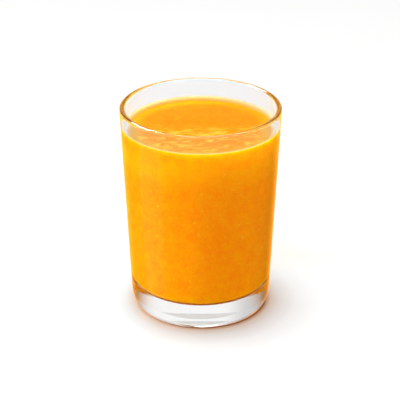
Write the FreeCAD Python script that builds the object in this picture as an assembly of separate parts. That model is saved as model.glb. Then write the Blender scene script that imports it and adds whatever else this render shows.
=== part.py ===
"""A straight-sided drinking glass filled with orange juice, in millimetres.

The glass stands on Z = 0 with its axis on Z. Both pieces are bodies of revolution: each is drawn as a half
section in the XZ plane, with the radius along X, and turned about Z. The juice takes its sides and its foot
from the glass's own inner wall, so the two always meet face to face.
"""

import FreeCAD
import Part

import math
import os

# ---- glass: outside ----
RIM_DIAMETER = 72.0
HEEL_DIAMETER = 63.9
GLASS_HEIGHT = 96.0
HEEL_RISE = 5.9
HEEL_INSET = 0.9
HEEL_BLEND = 4.0
TOE_RISE = 2.0
TOE_INSET = 1.5
TOE_BLEND = 2.0
FOOT_BLEND = 0.8

# ---- glass: underside ----
FOOT_RING_WIDTH = 2.6
PUNT_DEPTH = 0.1

# ---- glass: inside ----
WALL_AT_RIM = 2.4
WALL_AT_FLOOR = 2.9
BASE_THICKNESS = 10.1
FLOOR_BLEND = 7.5
RIM_BLEND_SHARE = 0.46  # of the rim's wall, so that both blends fit on it with a hair of flat between them

# ---- juice ----
HEADSPACE = 10.4
MENISCUS_RISE = 1.9
MENISCUS_REACH = 2.3

# ---- worked out from the sizes above ----
RIM_RADIUS = RIM_DIAMETER / 2
HEEL_RADIUS = HEEL_DIAMETER / 2
TOE_RADIUS = HEEL_RADIUS - HEEL_INSET
FOOT_RADIUS = TOE_RADIUS - TOE_INSET
PUNT_RADIUS = FOOT_RADIUS - FOOT_RING_WIDTH
JUICE_LEVEL = GLASS_HEIGHT - HEADSPACE


def outer_radius(z):
    """The outer wall's radius at a height above the heel."""
    share = (z - HEEL_RISE) / (GLASS_HEIGHT - HEEL_RISE)
    return HEEL_RADIUS + share * (RIM_RADIUS - HEEL_RADIUS)


FLOOR_RADIUS = outer_radius(BASE_THICKNESS) - WALL_AT_FLOOR
MOUTH_RADIUS = RIM_RADIUS - WALL_AT_RIM


def inner_radius(z):
    """The inner wall's radius at a height above the floor."""
    share = (z - BASE_THICKNESS) / (GLASS_HEIGHT - BASE_THICKNESS)
    return FLOOR_RADIUS + share * (MOUTH_RADIUS - FLOOR_RADIUS)


def at(radius, z):
    """A point of the half section."""
    return FreeCAD.Vector(radius, 0, z)


def arc(start, middle, end):
    """A round edge through three points."""
    return Part.Arc(start, middle, end).toShape()


def blended(corners):
    """Edges along a run of (radius, z, blend) corners, each turned on a tangent arc of its own blend radius."""
    edges = []
    points = [at(radius, z) for radius, z, _ in corners]
    here = points[0]
    for i in range(1, len(points) - 1):
        corner = points[i]
        blend = corners[i][2]
        back = (points[i - 1] - corner).normalize()
        onward = (points[i + 1] - corner).normalize()
        half_angle = back.getAngle(onward) / 2
        run = blend / math.tan(half_angle)
        to_centre = (back + onward).normalize()
        middle = corner + to_centre * (blend / math.sin(half_angle) - blend)
        edges.append(Part.makeLine(here, corner + back * run))
        here = corner + onward * run
        edges.append(arc(corner + back * run, middle, here))
    edges.append(Part.makeLine(here, points[-1]))
    return edges


def shallow_arc(axis_z, edge_radius, edge_z):
    """A round edge that is level on the axis at axis_z and runs out to (edge_radius, edge_z)."""
    drop = axis_z - edge_z
    size = (edge_radius**2 + drop**2) / (2 * drop)
    lean = math.asin(edge_radius / size) / 2
    middle = at(size * math.sin(lean), axis_z - size * (1 - math.cos(lean)))
    return arc(at(0, axis_z), middle, at(edge_radius, edge_z))


def meniscus_arc():
    """The juice's edge: level where it leaves the flat surface, and steep where it clings to the wall."""
    top = JUICE_LEVEL + MENISCUS_RISE
    wall = inner_radius(top)
    size = (MENISCUS_REACH**2 + MENISCUS_RISE**2) / (2 * MENISCUS_RISE)
    foot = wall - MENISCUS_REACH
    lean = math.asin(MENISCUS_REACH / size) / 2
    middle = at(foot + size * math.sin(lean), JUICE_LEVEL + size * (1 - math.cos(lean)))
    return arc(at(wall, top), middle, at(foot, JUICE_LEVEL))


def turned(edges):
    """The solid swept by a closed half section, turned a whole turn about Z."""
    section = Part.Face(Part.Wire(edges))
    return section.revolve(FreeCAD.Vector(0, 0, 0), FreeCAD.Vector(0, 0, 1), 360)


def glass():
    """The tumbler: heavy base, shallow punt, tapered wall and fire-polished rim."""
    rim_blend = RIM_BLEND_SHARE * WALL_AT_RIM
    wall = blended(
        [
            (PUNT_RADIUS, 0, 0),
            (FOOT_RADIUS, 0, FOOT_BLEND),
            (TOE_RADIUS, TOE_RISE, TOE_BLEND),
            (HEEL_RADIUS, HEEL_RISE, HEEL_BLEND),
            (RIM_RADIUS, GLASS_HEIGHT, rim_blend),
            (MOUTH_RADIUS, GLASS_HEIGHT, rim_blend),
            (FLOOR_RADIUS, BASE_THICKNESS, FLOOR_BLEND),
            (0, BASE_THICKNESS, 0),
        ]
    )
    punt = shallow_arc(PUNT_DEPTH, PUNT_RADIUS, 0)
    axis = Part.makeLine(at(0, BASE_THICKNESS), at(0, PUNT_DEPTH))
    return turned([punt] + wall + [axis])


def juice():
    """The drink, from the glass's floor up to its level, with the edge drawn up the wall."""
    top = JUICE_LEVEL + MENISCUS_RISE
    side = blended(
        [
            (0, BASE_THICKNESS, 0),
            (FLOOR_RADIUS, BASE_THICKNESS, FLOOR_BLEND),
            (inner_radius(top), top, 0),
        ]
    )
    edge = meniscus_arc()
    surface = Part.makeLine(at(inner_radius(top) - MENISCUS_REACH, JUICE_LEVEL), at(0, JUICE_LEVEL))
    axis = Part.makeLine(at(0, JUICE_LEVEL), at(0, BASE_THICKNESS))
    return turned(side + [edge, surface, axis])


PIECES = {
    "glass_tumbler": glass,
    "orange_juice": juice,
}

os.makedirs("parts", exist_ok=True)
for name, make in PIECES.items():
    solid = make()
    assert solid.isValid() and solid.Volume > 0, name
    solid.exportStep(f"parts/{name}.step")
    print(f"{name}: {solid.Volume / 1000:.1f} cm3, box {solid.BoundBox}")
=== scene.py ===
"""A clear tumbler of pulpy orange juice, on a plain pale floor.

The glass and the juice are finer turned meshes of the two CAD solids' own shapes. The juice reaches a hair
into the glass, so that no air shows between them. The pulp, the bubbles and the film that clings to the wall
above the juice are meshes of their own.
"""

import math
import random

import bmesh
import bpy
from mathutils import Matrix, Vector, noise


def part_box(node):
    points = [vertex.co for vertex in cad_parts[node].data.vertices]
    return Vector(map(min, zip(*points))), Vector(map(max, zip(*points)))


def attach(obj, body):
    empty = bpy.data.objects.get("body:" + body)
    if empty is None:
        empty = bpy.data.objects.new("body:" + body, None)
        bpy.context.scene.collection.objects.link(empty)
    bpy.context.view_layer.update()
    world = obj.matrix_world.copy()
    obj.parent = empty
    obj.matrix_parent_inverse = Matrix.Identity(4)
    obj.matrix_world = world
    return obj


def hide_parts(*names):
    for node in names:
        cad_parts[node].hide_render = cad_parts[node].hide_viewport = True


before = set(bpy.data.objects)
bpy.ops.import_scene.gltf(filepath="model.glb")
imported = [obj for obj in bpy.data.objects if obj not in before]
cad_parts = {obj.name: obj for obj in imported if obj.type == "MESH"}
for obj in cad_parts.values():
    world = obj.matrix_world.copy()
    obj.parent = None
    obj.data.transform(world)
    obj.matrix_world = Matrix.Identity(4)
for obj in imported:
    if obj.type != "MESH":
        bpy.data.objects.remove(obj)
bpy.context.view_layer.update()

MM = 0.001
UP = Vector((0, 0, 1))

# ---- sizes of the glass and the juice, in millimetres ----
RIM_DIAMETER = 72.0
HEEL_DIAMETER = 63.9
HEEL_RISE = 5.9
HEEL_INSET = 0.9
HEEL_BLEND = 4.0
TOE_RISE = 2.0
TOE_INSET = 1.5
TOE_BLEND = 2.0
FOOT_BLEND = 0.8
FOOT_RING_WIDTH = 2.6
PUNT_DEPTH = 0.1
WALL_AT_RIM = 2.4
WALL_AT_FLOOR = 2.9
BASE_THICKNESS = 10.1
FLOOR_BLEND = 7.5
RIM_BLEND_SHARE = 0.46
HEADSPACE = 10.4
MENISCUS_RISE = 1.9
MENISCUS_REACH = 2.3
JUICE_OVERLAP = 0.08

GLASS_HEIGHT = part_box("glass_tumbler")[1].z / MM
RIM_RADIUS = RIM_DIAMETER / 2
HEEL_RADIUS = HEEL_DIAMETER / 2
TOE_RADIUS = HEEL_RADIUS - HEEL_INSET
FOOT_RADIUS = TOE_RADIUS - TOE_INSET
PUNT_RADIUS = FOOT_RADIUS - FOOT_RING_WIDTH
MOUTH_RADIUS = RIM_RADIUS - WALL_AT_RIM
JUICE_LEVEL = GLASS_HEIGHT - HEADSPACE
JUICE_TOP = JUICE_LEVEL + MENISCUS_RISE

# ---- pulp, bubbles and film, in millimetres, with pulp and bubbles given by their half sizes ----
PULP_SEED = 11
WALL_PULP = 260
WALL_PULP_LENGTH = (0.3, 1.1)
WALL_PULP_WIDTH = (0.2, 0.6)
WALL_PULP_DEPTH = 0.12
SURFACE_PULP = 60
SURFACE_PULP_LENGTH = (0.3, 1.2)
SURFACE_PULP_WIDTH = (0.1, 0.25)
SURFACE_PULP_DEPTH = 0.1
SURFACE_PULP_SINK = 0.07
SURFACE_PULP_REACH = 30
BUBBLE_SEED = 5
EDGE_BUBBLES = 80
EDGE_BUBBLE_SIZE = (0.06, 0.18)
EDGE_BUBBLE_LIFT = (-0.35, 0.05)
EDGE_BUBBLE_SEAT = 0.8  # of its own radius, from the wall
SURFACE_BUBBLES = 24
SURFACE_BUBBLE_SIZE = (0.1, 0.2)
SURFACE_BUBBLE_REACH = (4, 29)
FILM_RISE = 1.1
FILM_DROP = 0.3
FILM_RAGGED_SHARE = 0.3
FILM_IN = 0.05
FILM_OUT = 0.03

# ---- how finely the meshes are cut ----
TURN_STEPS = 256
RUN_STEP = 3.0
ARC_STEP = math.radians(6)
SURFACE_STEP = 0.6
BLOB_SIDES = 8
BLOB_ROWS = 5
SHARP_ANGLE = math.radians(50)
ON_AXIS = 1e-6  # a smaller radius than this, in millimetres, is on the axis


def outer_radius(z):
    """The outer wall's radius at a height above the heel, in millimetres."""
    share = (z - HEEL_RISE) / (GLASS_HEIGHT - HEEL_RISE)
    return HEEL_RADIUS + share * (RIM_RADIUS - HEEL_RADIUS)


FLOOR_RADIUS = outer_radius(BASE_THICKNESS) - WALL_AT_FLOOR


def inner_radius(z):
    """The inner wall's radius at a height above the floor, in millimetres."""
    share = (z - BASE_THICKNESS) / (GLASS_HEIGHT - BASE_THICKNESS)
    return FLOOR_RADIUS + share * (MOUTH_RADIUS - FLOOR_RADIUS)


# ---- profiles: runs of (radius, height) points, in millimetres ----

def straight(start, end):
    """Points from start up to, but not including, end."""
    count = max(1, math.ceil((end - start).length / RUN_STEP))
    return [start.lerp(end, i / count) for i in range(count)]


def swung(centre, start, end):
    """Points on an arc about centre, from start up to, but not including, end."""
    sweep = (end - centre).angle_signed(start - centre)
    count = max(2, math.ceil(abs(sweep) / ARC_STEP))
    spoke = start - centre
    points = []
    for i in range(count):
        turn = sweep * i / count
        cosine = math.cos(turn)
        sine = math.sin(turn)
        x = spoke.x * cosine - spoke.y * sine
        y = spoke.x * sine + spoke.y * cosine
        points.append(centre + Vector((x, y)))
    return points


def blended(corners):
    """Points along a run of (radius, z, blend) corners, each turned on a tangent arc of its own radius."""
    places = [Vector((radius, z)) for radius, z, _ in corners]
    points = []
    here = places[0]
    for i in range(1, len(places) - 1):
        corner = places[i]
        blend = corners[i][2]
        back = (places[i - 1] - corner).normalized()
        onward = (places[i + 1] - corner).normalized()
        half_angle = back.angle(onward) / 2
        run = blend / math.tan(half_angle)
        centre = corner + (back + onward).normalized() * (blend / math.sin(half_angle))
        start = corner + back * run
        end = corner + onward * run
        points += straight(here, start)
        points += swung(centre, start, end)
        here = end
    return points + straight(here, places[-1]) + [places[-1]]


def shallow_arc(axis_z, edge_radius, edge_z):
    """Points on an arc, level on the axis at axis_z, out to but not including (edge_radius, edge_z)."""
    drop = axis_z - edge_z
    size = (edge_radius**2 + drop**2) / (2 * drop)
    count = math.ceil(edge_radius / RUN_STEP)
    radii = [edge_radius * i / count for i in range(count)]
    return [Vector((r, axis_z - size + math.sqrt(size**2 - r**2))) for r in radii]


def meniscus():
    """Points of the juice's edge, from the wall down to, but not including, the flat surface."""
    wall = inner_radius(JUICE_TOP)
    foot = wall - MENISCUS_REACH
    size = (MENISCUS_REACH**2 + MENISCUS_RISE**2) / (2 * MENISCUS_RISE)
    sweep = math.asin(MENISCUS_REACH / size)
    count = math.ceil(sweep / ARC_STEP)
    leans = [sweep * (1 - i / count) for i in range(count)]
    return [Vector((foot + size * math.sin(a), JUICE_LEVEL + size * (1 - math.cos(a)))) for a in leans]


# ---- meshes ----

def ring(mesh, point):
    """One vertex on the axis, or a ring of vertices about it, for a point of the profile."""
    if point.x < ON_AXIS:
        return [mesh.verts.new((0, 0, point.y * MM))]
    turns = [2 * math.pi * i / TURN_STEPS for i in range(TURN_STEPS)]
    radius = point.x * MM
    return [mesh.verts.new((radius * math.cos(a), radius * math.sin(a), point.y * MM)) for a in turns]


def bridge(mesh, low, high):
    """Faces between two neighbouring rings of a profile."""
    for i in range(TURN_STEPS):
        j = (i + 1) % TURN_STEPS
        if len(low) == 1:
            mesh.faces.new((low[0], high[j], high[i]))
        elif len(high) == 1:
            mesh.faces.new((low[i], low[j], high[0]))
        else:
            mesh.faces.new((low[i], low[j], high[j], high[i]))


def turned(profile):
    """A closed bmesh of revolution, from a profile of points that starts and ends on the axis."""
    mesh = bmesh.new()
    rings = [ring(mesh, point) for point in profile]
    for low, high in zip(rings, rings[1:]):
        bridge(mesh, low, high)
    return mesh


def heading(turn):
    """The level direction at an angle about the axis."""
    return Vector((math.cos(turn), math.sin(turn), 0))


def any_heading(chance):
    """A level direction drawn at random."""
    return heading(chance.uniform(0, 2 * math.pi))


def add_blob(mesh, centre, along, across, through):
    """An ellipsoid about a centre, with its three half axes as vectors, in millimetres."""
    turns = [2 * math.pi * j / BLOB_SIDES for j in range(BLOB_SIDES)]
    rows = []
    for i in range(1, BLOB_ROWS):
        lift = math.pi * i / BLOB_ROWS
        outward = [(along * math.cos(a) + across * math.sin(a)) * math.sin(lift) for a in turns]
        rows.append([mesh.verts.new((centre + out + through * math.cos(lift)) * MM) for out in outward])
    top = mesh.verts.new((centre + through) * MM)
    bottom = mesh.verts.new((centre - through) * MM)
    for j in range(BLOB_SIDES):
        after = (j + 1) % BLOB_SIDES
        mesh.faces.new((top, rows[0][j], rows[0][after]))
        mesh.faces.new((bottom, rows[-1][after], rows[-1][j]))
        for upper, lower in zip(rows, rows[1:]):
            mesh.faces.new((upper[j], lower[j], lower[after], upper[after]))


def add_bubble(mesh, centre, radius):
    """A ball about a centre, in millimetres."""
    add_blob(mesh, centre, Vector((radius, 0, 0)), Vector((0, radius, 0)), UP * radius)


def linked(name, mesh, materials):
    """A new object made of a bmesh and materials, linked into the scene."""
    data = bpy.data.meshes.new(name)
    mesh.to_mesh(data)
    mesh.free()
    for material in materials:
        data.materials.append(material)
    made = bpy.data.objects.new(name, data)
    bpy.context.scene.collection.objects.link(made)
    return made


def finished(name, mesh, materials):
    """A smooth-shaded piece made of a bmesh and materials, riding on the one body."""
    bmesh.ops.recalc_face_normals(mesh, faces=mesh.faces)
    piece = linked(name, mesh, materials)
    piece.data.shade_smooth()
    piece.data.set_sharp_from_angle(angle=SHARP_ANGLE)
    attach(piece, "root")
    return piece


# ---- node trees ----

class Nodes:
    """An emptied node tree of a material or a world, with short ways to add and join nodes."""

    def __init__(self, tree):
        self.tree = tree
        tree.nodes.clear()

    def add(self, kind, **values):
        """A new node with the given properties."""
        node = self.tree.nodes.new(kind)
        for name, value in values.items():
            setattr(node, name, value)
        return node

    def join(self, start, end):
        """A link from an output to an input."""
        self.tree.links.new(start, end)


def new_material(name):
    """A new material and its emptied node tree."""
    made = bpy.data.materials.new(name)
    made.use_nodes = True
    return made, Nodes(made.node_tree)


def end_at(nodes, surface):
    """The end of a material's tree, at its surface."""
    out = nodes.add("ShaderNodeOutputMaterial")
    nodes.join(surface, out.inputs["Surface"])


def object_place(nodes):
    """A point's place on the object, in metres."""
    return nodes.add("ShaderNodeTexCoord").outputs["Object"]


def axes(nodes, place):
    """The X, Y and Z of a place."""
    split = nodes.add("ShaderNodeSeparateXYZ")
    nodes.join(place, split.inputs[0])
    return split.outputs


def distance(nodes, place):
    """How far a place is from the origin."""
    length = nodes.add("ShaderNodeVectorMath", operation="LENGTH")
    nodes.join(place, length.inputs[0])
    return length.outputs["Value"]


def scaled(nodes, place, factors):
    """A place multiplied axis by axis."""
    scale = nodes.add("ShaderNodeVectorMath", operation="MULTIPLY")
    scale.inputs[1].default_value = factors
    nodes.join(place, scale.inputs[0])
    return scale.outputs["Vector"]


def product(nodes, one, other):
    """Two values multiplied."""
    times = nodes.add("ShaderNodeMath", operation="MULTIPLY")
    nodes.join(one, times.inputs[0])
    nodes.join(other, times.inputs[1])
    return times.outputs[0]


def rising(nodes, value, low, high):
    """A value that rises or falls smoothly between two (place, value) pairs, and is level outside them."""
    ease = nodes.add("ShaderNodeMapRange", interpolation_type="SMOOTHSTEP")
    ease.inputs["From Min"].default_value = low[0]
    ease.inputs["To Min"].default_value = low[1]
    ease.inputs["From Max"].default_value = high[0]
    ease.inputs["To Max"].default_value = high[1]
    nodes.join(value, ease.inputs["Value"])
    return ease.outputs["Result"]


def share_between(nodes, value, low, high):
    """A value's share of the way from low to high."""
    share = nodes.add("ShaderNodeMapRange")
    share.inputs["From Min"].default_value = low
    share.inputs["From Max"].default_value = high
    nodes.join(value, share.inputs["Value"])
    return share.outputs["Result"]


def cloudy(nodes, place, scale, detail, distortion=0.0):
    """A cloudy value that changes from place to place."""
    clouds = nodes.add("ShaderNodeTexNoise")
    clouds.inputs["Scale"].default_value = scale
    clouds.inputs["Detail"].default_value = detail
    clouds.inputs["Distortion"].default_value = distortion
    nodes.join(place, clouds.inputs["Vector"])
    return clouds.outputs["Fac"]


def bumped(nodes, height, strength, depth):
    """A surface direction that follows small bumps, with their depth in metres."""
    bump = nodes.add("ShaderNodeBump")
    bump.inputs["Strength"].default_value = strength
    bump.inputs["Distance"].default_value = depth
    nodes.join(height, bump.inputs["Height"])
    return bump.outputs["Normal"]


def stops(nodes, value, places):
    """The colour at a value, along (place, colour) stops."""
    ramp = nodes.add("ShaderNodeValToRGB")
    elements = ramp.color_ramp.elements
    while len(elements) < len(places):
        elements.new(1.0)
    for element, (place, colour) in zip(elements, places):
        element.position = place
        element.color = (*colour, 1)
    nodes.join(value, ramp.inputs["Fac"])
    return ramp.outputs["Color"]


def tinted(nodes, colour, other, share, blend_type="MIX"):
    """A colour mixed with another by a share, or multiplied with it."""
    mix = nodes.add("ShaderNodeMix", data_type="RGBA", blend_type=blend_type)
    mix.inputs["B"].default_value = (*other, 1)
    nodes.join(share, mix.inputs["Factor"])
    nodes.join(colour, mix.inputs["A"])
    return mix.outputs["Result"]


def between(nodes, colour, other, share):
    """The colour at a share of the way from one fixed colour to another."""
    mix = nodes.add("ShaderNodeMix", data_type="RGBA")
    mix.inputs["A"].default_value = (*colour, 1)
    mix.inputs["B"].default_value = (*other, 1)
    nodes.join(share, mix.inputs["Factor"])
    return mix.outputs["Result"]


def chosen(nodes, share, first, second):
    """The first of two shaders, giving way to the second by a share."""
    mix = nodes.add("ShaderNodeMixShader")
    nodes.join(share, mix.inputs[0])
    nodes.join(first, mix.inputs[1])
    nodes.join(second, mix.inputs[2])
    return mix.outputs["Shader"]


# ---- materials, with colours as linear red, green and blue ----

WHITE = (1.0, 1.0, 1.0)
GLASS_IOR = 1.5
GLASS_COLOUR = (0.87, 0.92, 0.95)
GLASS_SHADOW = (0.92, 0.925, 0.925)
JUICE_IOR = 1.34
JUICE_SCATTER_COLOUR = (1.0, 0.8, 0.1)
JUICE_GRAIN_SHARE = 0.55
SURFACE_COLOURS = [(0.36, (0.83, 0.19, 0.0004)), (0.68, (0.87, 0.27, 0.001))]
# painted reflection: an even, slightly lighter tone at the near side of the open face, for the pale sheen
# seen through the front wall
SURFACE_NEARER_PAINTED_REFLECTION = (0.86, 0.25, 0.003)
# pale pulp trails, which also serve as a painted reflection at the near side
PULP_TRAIL_AND_PAINTED_REFLECTION = (0.95, 0.54, 0.05)
# painted glow: the open face yellower towards the wall, for light let through its thin edge
MENISCUS_PAINTED_GLOW = (0.7, 0.34, 0.001)
MENISCUS_EDGE = (0.72, 0.58, 0.42)
BODY_COLOURS = [(0.36, (0.94, 0.32, 0.0005)), (0.66, (0.97, 0.43, 0.001))]
# painted glow: lighter, yellower juice a little under the surface, for light let in through the open face
BODY_PAINTED_GLOW = (0.97, 0.55, 0.002)
BODY_PAINTED_GLOW_FOOT = 66.0  # the heights in millimetres between which the painted glow's shares below are spread
BODY_PAINTED_GLOW_TOP = 88.0
BODY_PAINTED_GLOW_SHARES = [(0.1, 0.0), (0.5, 0.34), (0.68, 0.2), (0.8, 0.0)]
BODY_EDGE = (0.8, 0.4, 0.22)
PULP_COLOURS = [(0.4, (1.0, 0.47, 0.01)), (0.6, (1.0, 0.56, 0.025))]
BUBBLE_COLOURS = [(0.4, (1.0, 0.5, 0.08)), (0.6, (1.0, 0.6, 0.18))]
FILM_COLOUR = (0.92, 0.55, 0.2)
FILM_COVER = 0.2
# painted light and shade round the foot: an orange glow under the glass for light through the juice, a dark
# contact shadow under the foot's edge, a warm brown shadow beyond, then a cool tint that cancels the juice's
# warm bounce light
FLOOR_PAINTED_SHADE_RINGS = [
    (0.0, (0.9, 0.42, 0.1)),
    (0.06, (0.7, 0.3, 0.08)),
    (0.09, (0.12, 0.06, 0.03)),
    (0.14, (0.58, 0.38, 0.25)),
    (0.25, (0.72, 0.66, 0.6)),
    (0.5, (0.77, 0.79, 0.8)),
    (1.0, (0.83, 0.89, 0.92)),
]
FLOOR_PAINTED_SHADE_RINGS_IN = 28.0  # the radii in millimetres between which the painted shade rings are spread, and the rings' centre, a little right of and in front of the foot's so that the painted shadow leans that way
FLOOR_PAINTED_SHADE_RINGS_OUT = 44.0
FLOOR_PAINTED_SHADE_RINGS_CENTRE = Vector((0.8, -0.2, 0))
FLOOR_FAR = (0.835, 0.84, 0.84)
# painted warm light on the floor behind the glass, seen through its base
FLOOR_BEHIND_PAINTED_WARM_LIGHT = (1.0, 0.94, 0.88)
# painted cool tint to the left of the foot, which cancels the juice's warm bounce light
FLOOR_LEFT_PAINTED_COOL_TINT = (0.95, 1.03, 1.08)


def clear_glass():
    """Clear glass with the faint waves of a pressed and fire-polished wall. Shadows pass through it."""
    made, nodes = new_material("clear_glass")
    shader = nodes.add("ShaderNodeBsdfPrincipled")
    shader.inputs["Base Color"].default_value = (*GLASS_COLOUR, 1)
    shader.inputs["Roughness"].default_value = 0.0
    shader.inputs["IOR"].default_value = GLASS_IOR
    shader.inputs["Transmission Weight"].default_value = 1.0
    waves = cloudy(nodes, object_place(nodes), scale=45.0, detail=1.0)
    nodes.join(bumped(nodes, waves, strength=0.04, depth=0.0006), shader.inputs["Normal"])
    clear = nodes.add("ShaderNodeBsdfTransparent")
    clear.inputs["Color"].default_value = (*GLASS_SHADOW, 1)
    in_shadow = nodes.add("ShaderNodeLightPath").outputs["Is Shadow Ray"]
    end_at(nodes, chosen(nodes, in_shadow, shader.outputs["BSDF"], clear.outputs["BSDF"]))
    return made


def juice_shader(nodes, colours, roughness, specular, scatter, bump_depth):
    """Cloudy orange juice: light scatters some way through it, and fine pulp mottles its colour.

    Gives the shader and its mottled colour. The scatter and the bumps' depth are in metres.
    """
    shader = nodes.add("ShaderNodeBsdfPrincipled")
    shader.inputs["Roughness"].default_value = roughness
    shader.inputs["IOR"].default_value = JUICE_IOR
    shader.inputs["Specular IOR Level"].default_value = specular
    shader.inputs["Subsurface Weight"].default_value = 1.0
    shader.inputs["Subsurface Radius"].default_value = JUICE_SCATTER_COLOUR
    shader.inputs["Subsurface Scale"].default_value = scatter
    shader.inputs["Subsurface Anisotropy"].default_value = 0.4
    place = object_place(nodes)
    mottle = nodes.add("ShaderNodeMix", data_type="FLOAT")
    mottle.inputs[0].default_value = JUICE_GRAIN_SHARE
    nodes.join(cloudy(nodes, place, scale=220.0, detail=3.0), mottle.inputs[2])
    nodes.join(cloudy(nodes, place, scale=900.0, detail=2.0), mottle.inputs[3])
    colour = stops(nodes, mottle.outputs[0], colours)
    nodes.join(colour, shader.inputs["Base Color"])
    nodes.join(bumped(nodes, mottle.outputs[0], strength=0.5, depth=bump_depth), shader.inputs["Normal"])
    return shader, colour


def juice_surface():
    """The juice's open face: wet, with a painted reflection at the near side, drawn as an even lighter tone
    and trails of pale pulp, a painted glow of light through its thin edge towards the wall, and paler up the
    wall.
    """
    made, nodes = new_material("juice_surface")
    shader, colour = juice_shader(
        nodes, SURFACE_COLOURS, roughness=0.12, specular=0.006, scatter=0.002, bump_depth=0.00012
    )
    place = object_place(nodes)
    _, y, z = axes(nodes, place)
    # painted reflection at the near side: an even lighter tone, and pale pulp trails drawn only there
    near_painted_reflection = rising(nodes, y, (-10 * MM, 1.0), (6 * MM, 0.0))
    colour = tinted(nodes, colour, SURFACE_NEARER_PAINTED_REFLECTION, near_painted_reflection)
    stretched = scaled(nodes, place, (0.5, 1.0, 1.0))
    trails = cloudy(nodes, stretched, scale=330.0, detail=4.0, distortion=1.2)
    trail = rising(nodes, trails, (0.44, 0.0), (0.68, 1.0))
    colour = tinted(nodes, colour, PULP_TRAIL_AND_PAINTED_REFLECTION, product(nodes, trail, near_painted_reflection))
    # painted glow: yellower towards the wall, for light let through the thin edge
    radius = distance(nodes, scaled(nodes, place, (1.0, 1.0, 0.0)))
    on_painted_glow = rising(nodes, radius, (25 * MM, 0.0), (32.2 * MM, 1.0))
    colour = tinted(nodes, colour, MENISCUS_PAINTED_GLOW, on_painted_glow)
    up_wall = rising(nodes, z, ((JUICE_LEVEL - 0.1) * MM, 0.0), (JUICE_TOP * MM, 1.0))
    colour = tinted(nodes, colour, MENISCUS_EDGE, up_wall)
    nodes.join(colour, shader.inputs["Base Color"])
    end_at(nodes, shader.outputs["BSDF"])
    return made


def juice_in_glass():
    """The juice against the glass, with a painted glow a little below its surface for light let in through
    the open face. Being thinner, it mirrors light that meets it at a low angle.
    """
    made, nodes = new_material("juice_in_glass")
    shader, colour = juice_shader(
        nodes, BODY_COLOURS, roughness=0.9, specular=0.0, scatter=0.005, bump_depth=0.0
    )
    z = axes(nodes, object_place(nodes))["Z"]
    # painted glow: a band a little below the surface drawn lighter and yellower, for light let in through
    # the top
    height = share_between(nodes, z, BODY_PAINTED_GLOW_FOOT * MM, BODY_PAINTED_GLOW_TOP * MM)
    painted_glow = stops(nodes, height, [(place, (share, share, share)) for place, share in BODY_PAINTED_GLOW_SHARES])
    colour = tinted(nodes, colour, BODY_PAINTED_GLOW, painted_glow)
    at_edge = rising(nodes, z, ((JUICE_TOP - 0.5) * MM, 0.0), ((JUICE_TOP - 0.1) * MM, 1.0))
    colour = tinted(nodes, colour, BODY_EDGE, at_edge)
    nodes.join(colour, shader.inputs["Base Color"])
    mirror = nodes.add("ShaderNodeBsdfAnisotropic")
    mirror.inputs["Roughness"].default_value = 0.0
    low_angle = nodes.add("ShaderNodeFresnel")
    low_angle.inputs["IOR"].default_value = JUICE_IOR / GLASS_IOR
    end_at(nodes, chosen(nodes, low_angle.outputs["Fac"], shader.outputs["BSDF"], mirror.outputs["BSDF"]))
    return made


def pulp_flesh():
    """Bits of orange flesh, paler than the juice about them."""
    made, nodes = new_material("pulp_flesh")
    shader, _ = juice_shader(
        nodes, PULP_COLOURS, roughness=0.6, specular=0.0, scatter=0.002, bump_depth=0.00005
    )
    shader.inputs["Subsurface Weight"].default_value = 0.0
    end_at(nodes, shader.outputs["BSDF"])
    return made


def bubble_skin():
    """Tiny bubbles of froth, which catch the light."""
    made, nodes = new_material("bubble_skin")
    shader, _ = juice_shader(
        nodes, BUBBLE_COLOURS, roughness=0.1, specular=0.4, scatter=0.001, bump_depth=0.00002
    )
    end_at(nodes, shader.outputs["BSDF"])
    return made


def juice_film():
    """What clings to the wall above the juice: pale, patchy, and thinner with height."""
    made, nodes = new_material("juice_film")
    shader = nodes.add("ShaderNodeBsdfPrincipled")
    shader.inputs["Base Color"].default_value = (*FILM_COLOUR, 1)
    shader.inputs["Roughness"].default_value = 0.4
    shader.inputs["Specular IOR Level"].default_value = 0.1
    place = object_place(nodes)
    patches = cloudy(nodes, place, scale=300.0, detail=3.0)
    uneven = rising(nodes, patches, (0.35, 0.5), (0.6, 1.0))
    z = axes(nodes, place)["Z"]
    thinning = rising(nodes, z, ((JUICE_TOP - 0.1) * MM, FILM_COVER), ((JUICE_TOP + FILM_RISE) * MM, 0.0))
    nodes.join(product(nodes, uneven, thinning), shader.inputs["Alpha"])
    end_at(nodes, shader.outputs["BSDF"])
    return made


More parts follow.
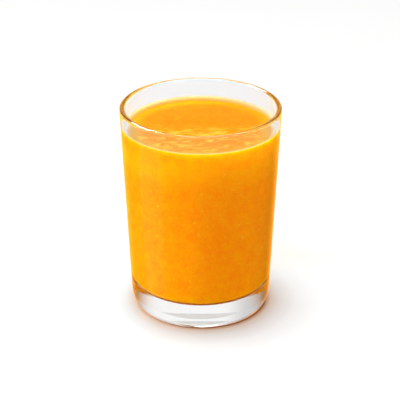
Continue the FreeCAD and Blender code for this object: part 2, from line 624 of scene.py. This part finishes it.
def pale_floor_painted_shade():
    """A matt pale surface, with painted light and shade close round the foot: an orange painted glow under
    the glass, a dark painted contact shadow and a warm painted shadow round the foot, painted warm light
    behind it, and a painted cool tint to the left of it.
    """
    made, nodes = new_material("pale_floor_painted_shade")
    place = object_place(nodes)
    from_centre = nodes.add("ShaderNodeVectorMath", operation="SUBTRACT")
    from_centre.inputs[1].default_value = FLOOR_PAINTED_SHADE_RINGS_CENTRE * MM
    nodes.join(place, from_centre.inputs[0])
    away = distance(nodes, from_centre.outputs["Vector"])
    # painted shade rings: glow, contact shadow and warm shadow round the foot
    colour = stops(nodes, share_between(nodes, away, FLOOR_PAINTED_SHADE_RINGS_IN * MM, FLOOR_PAINTED_SHADE_RINGS_OUT * MM), FLOOR_PAINTED_SHADE_RINGS)
    x, y, _ = axes(nodes, place)
    near = rising(nodes, away, (55 * MM, 1.0), (100 * MM, 0.0))
    behind = rising(nodes, y, (15 * MM, 0.0), (45 * MM, 1.0))
    left = rising(nodes, x, (-34 * MM, 1.0), (-18 * MM, 0.0))
    far = rising(nodes, away, (60 * MM, 0.0), (300 * MM, 1.0))
    # painted warm light behind the glass and painted cool tint to its left, near the foot only
    colour = tinted(nodes, colour, FLOOR_BEHIND_PAINTED_WARM_LIGHT, product(nodes, behind, near), "MULTIPLY")
    colour = tinted(nodes, colour, FLOOR_LEFT_PAINTED_COOL_TINT, product(nodes, left, near), "MULTIPLY")
    colour = tinted(nodes, colour, FLOOR_FAR, far)
    shader = nodes.add("ShaderNodeBsdfDiffuse")
    nodes.join(colour, shader.inputs["Color"])
    end_at(nodes, shader.outputs["BSDF"])
    return made


# ---- pieces ----

OPEN_FACE_LEAN = 0.2  # the least that a face of the open surface looks upwards, from 0 for level to 1
LEVEL_MARGIN = 0.001  # how far below the juice's level, in millimetres, a face still counts as on it


def build_glass():
    """The tumbler: heavy base, shallow punt, tapered wall and fire-polished rim."""
    rim_blend = RIM_BLEND_SHARE * WALL_AT_RIM
    wall = blended(
        [
            (PUNT_RADIUS, 0, 0),
            (FOOT_RADIUS, 0, FOOT_BLEND),
            (TOE_RADIUS, TOE_RISE, TOE_BLEND),
            (HEEL_RADIUS, HEEL_RISE, HEEL_BLEND),
            (RIM_RADIUS, GLASS_HEIGHT, rim_blend),
            (MOUTH_RADIUS, GLASS_HEIGHT, rim_blend),
            (FLOOR_RADIUS, BASE_THICKNESS, FLOOR_BLEND),
            (0, BASE_THICKNESS, 0),
        ]
    )
    profile = shallow_arc(PUNT_DEPTH, PUNT_RADIUS, 0) + wall
    piece = finished("tumbler", turned(profile), [clear_glass()])
    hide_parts("glass_tumbler")


def build_juice():
    """The drink, a hair larger than the hollow that it fills, with the edge drawn up the wall."""
    side = blended(
        [
            (0, BASE_THICKNESS - JUICE_OVERLAP, 0),
            (FLOOR_RADIUS + JUICE_OVERLAP, BASE_THICKNESS - JUICE_OVERLAP, FLOOR_BLEND),
            (inner_radius(JUICE_TOP) + JUICE_OVERLAP, JUICE_TOP, 0),
        ]
    )
    flat = inner_radius(JUICE_TOP) - MENISCUS_REACH
    count = math.ceil(flat / SURFACE_STEP)
    surface = [Vector((flat * (1 - i / count), JUICE_LEVEL)) for i in range(count + 1)]
    piece = finished("juice", turned(side + meniscus() + surface), [juice_in_glass(), juice_surface()])
    for face in piece.data.polygons:
        at_surface = face.center.z > (JUICE_LEVEL - LEVEL_MARGIN) * MM
        face.material_index = int(at_surface and face.normal.z >= OPEN_FACE_LEAN)
    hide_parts("orange_juice")


def build_pulp():
    """Bits of flesh pressed against the wall all round, and floating flat on the surface."""
    chance = random.Random(PULP_SEED)
    mesh = bmesh.new()
    for _ in range(WALL_PULP):
        height = chance.uniform(FLOOR_BLEND + BASE_THICKNESS, JUICE_LEVEL - 1)
        outward = any_heading(chance)
        lean = chance.uniform(0, math.pi)
        along = outward.cross(UP) * math.cos(lean) + UP * math.sin(lean)
        across = outward.cross(along)
        centre = outward * inner_radius(height) + UP * height
        length = chance.uniform(*WALL_PULP_LENGTH)
        width = chance.uniform(*WALL_PULP_WIDTH)
        add_blob(mesh, centre, along * length, across * width, outward * WALL_PULP_DEPTH)
    for _ in range(SURFACE_PULP):
        reach = SURFACE_PULP_REACH * math.sqrt(chance.random())
        centre = any_heading(chance) * reach + UP * (JUICE_LEVEL - SURFACE_PULP_SINK)
        along = heading(chance.uniform(0, math.pi))
        length = chance.uniform(*SURFACE_PULP_LENGTH)
        width = chance.uniform(*SURFACE_PULP_WIDTH)
        add_blob(mesh, centre, along * length, UP.cross(along) * width, UP * SURFACE_PULP_DEPTH)
    piece = finished("pulp", mesh, [pulp_flesh()])


def build_bubbles():
    """Froth: a broken line of tiny bubbles where the juice meets the wall, and strays on the surface."""
    chance = random.Random(BUBBLE_SEED)
    mesh = bmesh.new()
    for _ in range(EDGE_BUBBLES):
        radius = chance.uniform(*EDGE_BUBBLE_SIZE)
        height = JUICE_TOP + chance.uniform(*EDGE_BUBBLE_LIFT)
        reach = inner_radius(height) - EDGE_BUBBLE_SEAT * radius
        add_bubble(mesh, any_heading(chance) * reach + UP * height, radius)
    for _ in range(SURFACE_BUBBLES):
        radius = chance.uniform(*SURFACE_BUBBLE_SIZE)
        reach = chance.uniform(*SURFACE_BUBBLE_REACH)
        add_bubble(mesh, any_heading(chance) * reach + UP * JUICE_LEVEL, radius)
    piece = finished("bubbles", mesh, [bubble_skin()])


def build_film():
    """A thin uneven coat on the wall, from just under the juice's edge to a ragged line above it."""
    mesh = bmesh.new()
    columns = []
    low = JUICE_TOP - FILM_DROP
    for i in range(TURN_STEPS):
        outward = heading(2 * math.pi * i / TURN_STEPS)
        coarse = noise.noise(outward * 6)
        fine = noise.noise(outward * 17)
        high = JUICE_TOP + FILM_RISE * (1 + FILM_RAGGED_SHARE * (coarse + 0.5 * fine))
        inside = [outward * (inner_radius(z) - FILM_IN) + UP * z for z in (low, high)]
        outside = [outward * (inner_radius(z) + FILM_OUT) + UP * z for z in (high, low)]
        columns.append([mesh.verts.new(place * MM) for place in inside + outside])
    for here, after in zip(columns, columns[1:] + columns[:1]):
        for i in range(4):
            j = (i + 1) % 4
            mesh.faces.new((here[i], after[i], after[j], here[j]))
    piece = finished("film", mesh, [juice_film()])


# ---- stage, in metres ----

CAMERA_DISTANCE = 0.65
CAMERA_ELEVATION = math.radians(25.4)
CAMERA_LENS = 128.3
AIM = Vector((-0.0003, 0, 0.0498))
FLOOR_SIZE = 4.0
FLOOR_DROP = 0.00005
WARM = (1.0, 0.76, 0.5)
SURROUND_LIGHT = 0.9
SURROUND_FRONT = (1.0, 0.52, 0.22)
SURROUND_BEHIND = (1.0, 0.97, 0.94)
MIRRORED_BEHIND = (1.7, 0.7, 0.08)
LIGHT_BOUNCES = 32
MIRROR_BOUNCES = 16


def build_floor():
    """A wide level floor, a hair under the glass's foot, which no gloss mirrors."""
    mesh = bmesh.new()
    bmesh.ops.create_grid(mesh, x_segments=1, y_segments=1, size=FLOOR_SIZE)
    floor = linked("floor", mesh, [pale_floor_painted_shade()])
    floor.location.z = -FLOOR_DROP
    floor.visible_glossy = False


def build_camera():
    """The camera looks down on the glass from the front."""
    data = bpy.data.cameras.new("camera")
    data.sensor_width = 36.0
    data.lens = CAMERA_LENS
    data.clip_start = 0.01
    camera = bpy.data.objects.new("camera", data)
    away = Vector((0, -math.cos(CAMERA_ELEVATION), math.sin(CAMERA_ELEVATION)))
    camera.location = AIM + away * CAMERA_DISTANCE
    camera.rotation_euler = (-away).to_track_quat("-Z", "Y").to_euler()
    bpy.context.scene.collection.objects.link(camera)
    bpy.context.scene.camera = camera


def background(nodes):
    """A white surround."""
    made = nodes.add("ShaderNodeBackground")
    made.inputs["Color"].default_value = (*WHITE, 1)
    return made


def shown_surround(nodes, x, y):
    """What is looked at, also through the glass: white behind it, and amber and dimmer elsewhere."""
    made = background(nodes)
    facing = rising(nodes, y, (0.3, 0.0), (0.76, 1.0))
    nodes.join(between(nodes, SURROUND_FRONT, SURROUND_BEHIND, facing), made.inputs["Color"])
    open_side = rising(nodes, y, (0.2, 0.55), (0.8, 1.12))
    left_side = rising(nodes, x, (-0.5, 0.72), (-0.2, 1.0))
    nodes.join(product(nodes, open_side, left_side), made.inputs["Strength"])
    return made.outputs["Background"]


def mirrored_surround(nodes, y, z):
    """What gloss mirrors: nearly dark, apart from a grey glow above and an orange one behind."""
    made = background(nodes)
    above = rising(nodes, z, (0.2, 0.008), (0.8, 0.4))
    behind = rising(nodes, y, (0.55, 0.0), (0.9, 0.9))
    both = nodes.add("ShaderNodeVectorMath", operation="ADD")
    nodes.join(above, both.inputs[0])
    nodes.join(between(nodes, (0, 0, 0), MIRRORED_BEHIND, behind), both.inputs[1])
    nodes.join(both.outputs["Vector"], made.inputs["Color"])
    return made.outputs["Background"]


def build_world():
    """An even light from all sides, with one look where it is seen and another where it is mirrored."""
    world = bpy.data.worlds.new("studio")
    bpy.context.scene.world = world
    world.use_nodes = True
    nodes = Nodes(world.node_tree)
    x, y, z = axes(nodes, nodes.add("ShaderNodeTexCoord").outputs["Generated"])
    path = nodes.add("ShaderNodeLightPath").outputs
    seen = nodes.add("ShaderNodeMath", operation="MAXIMUM")
    nodes.join(path["Is Camera Ray"], seen.inputs[0])
    nodes.join(path["Is Transmission Ray"], seen.inputs[1])
    lighting = background(nodes)
    lighting.inputs["Strength"].default_value = SURROUND_LIGHT
    mirrored = mirrored_surround(nodes, y, z)
    unseen = chosen(nodes, path["Is Glossy Ray"], lighting.outputs["Background"], mirrored)
    out = nodes.add("ShaderNodeOutputWorld")
    nodes.join(chosen(nodes, seen.outputs[0], unseen, shown_surround(nodes, x, y)), out.inputs["Surface"])


def card(name, corners, strength):
    """A lit card that is seen only in what mirrors it."""
    made, nodes = new_material(name)
    glow = nodes.add("ShaderNodeEmission")
    glow.inputs["Strength"].default_value = strength
    end_at(nodes, glow.outputs[0])
    mesh = bmesh.new()
    mesh.faces.new([mesh.verts.new(corner) for corner in corners])
    made_card = linked(name, mesh, [made])
    made_card.visible_camera = False
    made_card.visible_diffuse = False
    made_card.visible_transmission = False
    made_card.visible_shadow = False


def build_cards():
    """A dim card at the left, and bright ones above and over the far left corner."""
    card("left_card", [(-1, -0.554, -1.5), (-1, 0.187, -1.5), (-1, 0.187, 0.3), (-1, -0.554, 0.3)], 0.16)
    card("top_card", [(-0.45, 0.1, 1), (0.45, 0.1, 1), (0.45, 0.6, 1), (-0.45, 0.6, 1)], 4.0)
    card("corner_card", [(-0.95, 0.3, 1), (-0.26, 0.3, 1), (-0.26, 0.95, 1), (-0.95, 0.95, 1)], 30.0)


def soft_light(name, place, size, power, colour):
    """A rectangular soft light at a place, facing the glass."""
    data = bpy.data.lights.new(name, "AREA")
    data.shape = "RECTANGLE"
    data.size = size[0]
    data.size_y = size[1]
    data.energy = power
    data.color = colour
    light = bpy.data.objects.new(name, data)
    light.location = place
    light.rotation_euler = (AIM - Vector(place)).to_track_quat("-Z", "Y").to_euler()
    bpy.context.scene.collection.objects.link(light)


def build_lights():
    """A low key light at the left, two warm ones at the right and a small one above."""
    soft_light("key", (-1.3, -0.3, 0.14), (0.9, 0.3), 12.0, WHITE)
    soft_light("fill", (0.82, -1.14, 0.12), (0.8, 0.24), 5.6, WARM)
    soft_light("side", (1.2, 0.45, 0.14), (0.6, 0.24), 1.6, WARM)
    soft_light("top", (-0.1, 0.05, 1.05), (0.3, 0.3), 3.2, WHITE)


def set_scene():
    """Plain colours, and enough bounces for light to find its way out of the thick rim and base."""
    scene = bpy.context.scene
    scene.view_settings.view_transform = "Standard"
    scene.cycles.max_bounces = LIGHT_BOUNCES
    scene.cycles.transmission_bounces = LIGHT_BOUNCES
    scene.cycles.glossy_bounces = MIRROR_BOUNCES


build_glass()
build_juice()
build_pulp()
build_bubbles()
build_film()
build_floor()
build_camera()
build_world()
build_cards()
build_lights()
set_scene()
